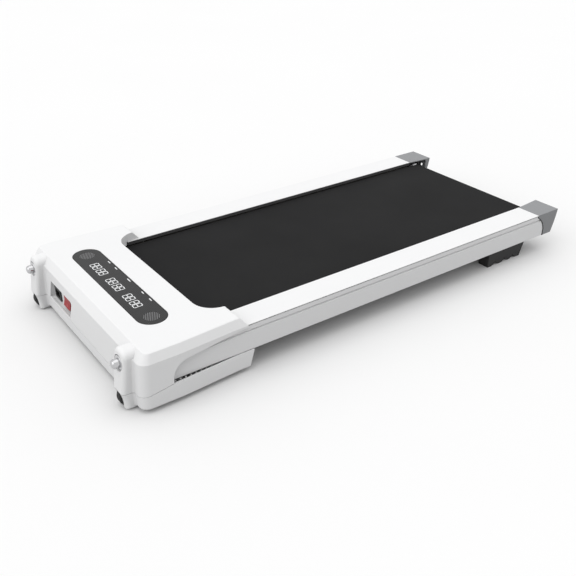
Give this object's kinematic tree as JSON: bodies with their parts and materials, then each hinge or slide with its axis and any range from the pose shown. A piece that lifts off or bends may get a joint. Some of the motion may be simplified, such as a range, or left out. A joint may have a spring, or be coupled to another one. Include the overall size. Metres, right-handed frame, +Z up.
{
  "type": "walking pad",
  "caption": "Low motorised walking pad with a belt between side rails, a motor hood with a display strip, front wheel lugs, grey end caps and lobed rear feet.",
  "frame": {"origin": "on the floor, at the middle of the pad's length and width", "axes": "+Y from the hood to the end caps, +Z up, +X to the left of a walker who faces the display"},
  "size_m": [0.52, 1.145, 0.12],
  "materials": {
    "white_shell": "satin",
    "rail_metal": "satin, pale coat",
    "cap_grey": "fine grain",
    "belt_face": "matt, fine texture",
    "foot_rubber": "matt",
    "tyre_rubber": "matt",
    "hub_plastic": "satin",
    "bolt_chrome": "polished",
    "display_black": "dark, printed mesh",
    "board_green": "satin",
    "digit_face": "satin",
    "speaker_black": "matt",
    "inlet_black": "satin",
    "pin_metal": "plated",
    "rocker_red": "gloss",
    "frame_paint": "satin black",
    "axle_steel": "turned",
    "roller_steel": "turned",
    "screw_steel": "zinc plated",
    "bolt_black": "black oxide",
    "guard_grey": "satin",
    "pulley_metal": "turned",
    "drive_rubber": "ribbed",
    "deck_wood": "laminated",
    "cushion_rubber": "matt",
    "motor_paint": "satin black",
    "armature_metal": "wound core",
    "flywheel_iron": "machined",
    "sink_metal": "finned"
  },
  "bodies": {
    "frame": {"hood_cover": "white_shell", "base_pan": "white_shell", "left_rail_cover": "white_shell", "right_rail_cover": "white_shell", "left_side_rail": "rail_metal", "right_side_rail": "rail_metal", "left_rear_cap": "cap_grey", "right_rear_cap": "cap_grey", "walking_belt": "belt_face", "left_rear_foot": "foot_rubber", "right_rear_foot": "foot_rubber", "front_pads": "foot_rubber", "left_cap_seal": "foot_rubber", "right_cap_seal": "foot_rubber", "lug_bolts": "bolt_chrome", "display_lens": "display_black", "display_board": "board_green", "digit_modules": "digit_face", "speakers": "speaker_black", "inlet_housing": "inlet_black", "rocker_frame": "inlet_black", "inlet_pins": "pin_metal", "left_frame_channel": "frame_paint", "right_frame_channel": "frame_paint", "cross_tubes": "frame_paint", "motor_saddle": "frame_paint", "front_roller_axle": "axle_steel", "rear_roller_axle": "axle_steel", "wheel_axles": "axle_steel", "left_tension_block": "axle_steel", "right_tension_block": "axle_steel", "pan_screws": "screw_steel", "deck_screws": "screw_steel", "foot_screws": "screw_steel", "cap_screws": "screw_steel", "left_belt_guard": "guard_grey", "right_belt_guard": "guard_grey", "drive_belt": "drive_rubber", "deck_board": "deck_wood", "deck_cushions": "cushion_rubber", "motor_case": "motor_paint", "motor_controller": "sink_metal"},
    "front_roller": {"front_roller_tube": "roller_steel", "front_roller_bearings": "axle_steel", "front_roller_pulley": "pulley_metal"},
    "rear_roller": {"rear_roller_tube": "roller_steel", "rear_roller_bearings": "axle_steel"},
    "motor_rotor": {"motor_armature": "armature_metal", "motor_shaft": "axle_steel", "motor_flywheel": "flywheel_iron", "motor_pulley": "pulley_metal"},
    "left_wheel": {"left_wheel_tyre": "tyre_rubber", "left_wheel_hub": "hub_plastic"},
    "right_wheel": {"right_wheel_tyre": "tyre_rubber", "right_wheel_hub": "hub_plastic"},
    "rocker": {"power_rocker": "rocker_red"},
    "left_tension": {"left_tension_bolt": "bolt_black"},
    "right_tension": {"right_tension_bolt": "bolt_black"}
  },
  "joints": [
    {"name": "front_roller_spin", "type": "hinge", "parent": "frame", "child": "front_roller", "pos_m": [0, -0.408, 0.0719], "axis": [1, 0, 0], "continuous": true},
    {"name": "rear_roller_spin", "type": "hinge", "parent": "frame", "child": "rear_roller", "pos_m": [0, 0.5235, 0.0719], "axis": [1, 0, 0], "continuous": true},
    {"name": "motor_spin", "type": "hinge", "parent": "frame", "child": "motor_rotor", "pos_m": [0, -0.482, 0.062], "axis": [1, 0, 0], "continuous": true},
    {"name": "left_wheel_spin", "type": "hinge", "parent": "frame", "child": "left_wheel", "pos_m": [0.209, -0.5473, 0.0215], "axis": [1, 0, 0], "continuous": true},
    {"name": "right_wheel_spin", "type": "hinge", "parent": "frame", "child": "right_wheel", "pos_m": [-0.209, -0.5473, 0.0215], "axis": [1, 0, 0], "continuous": true},
    {"name": "power_rocker_tilt", "type": "hinge", "parent": "frame", "child": "rocker", "pos_m": [-0.0855, -0.528, 0.0615], "axis": [1, 0, 0], "range_deg": [0, 14]},
    {"name": "left_tension_turn", "type": "hinge", "parent": "frame", "child": "left_tension", "pos_m": [0.207, 0.545, 0.0779], "axis": [0, 1, 0], "range_deg": [-90, 90]},
    {"name": "right_tension_turn", "type": "hinge", "parent": "frame", "child": "right_tension", "pos_m": [-0.207, 0.545, 0.0779], "axis": [0, 1, 0], "range_deg": [-90, 90]}
  ],
  "couplings": [
    {"joint": "rear_roller_spin", "follows": "front_roller_spin", "ratio": 1},
    {"joint": "motor_spin", "follows": "front_roller_spin", "ratio": 2.5}
  ]
}
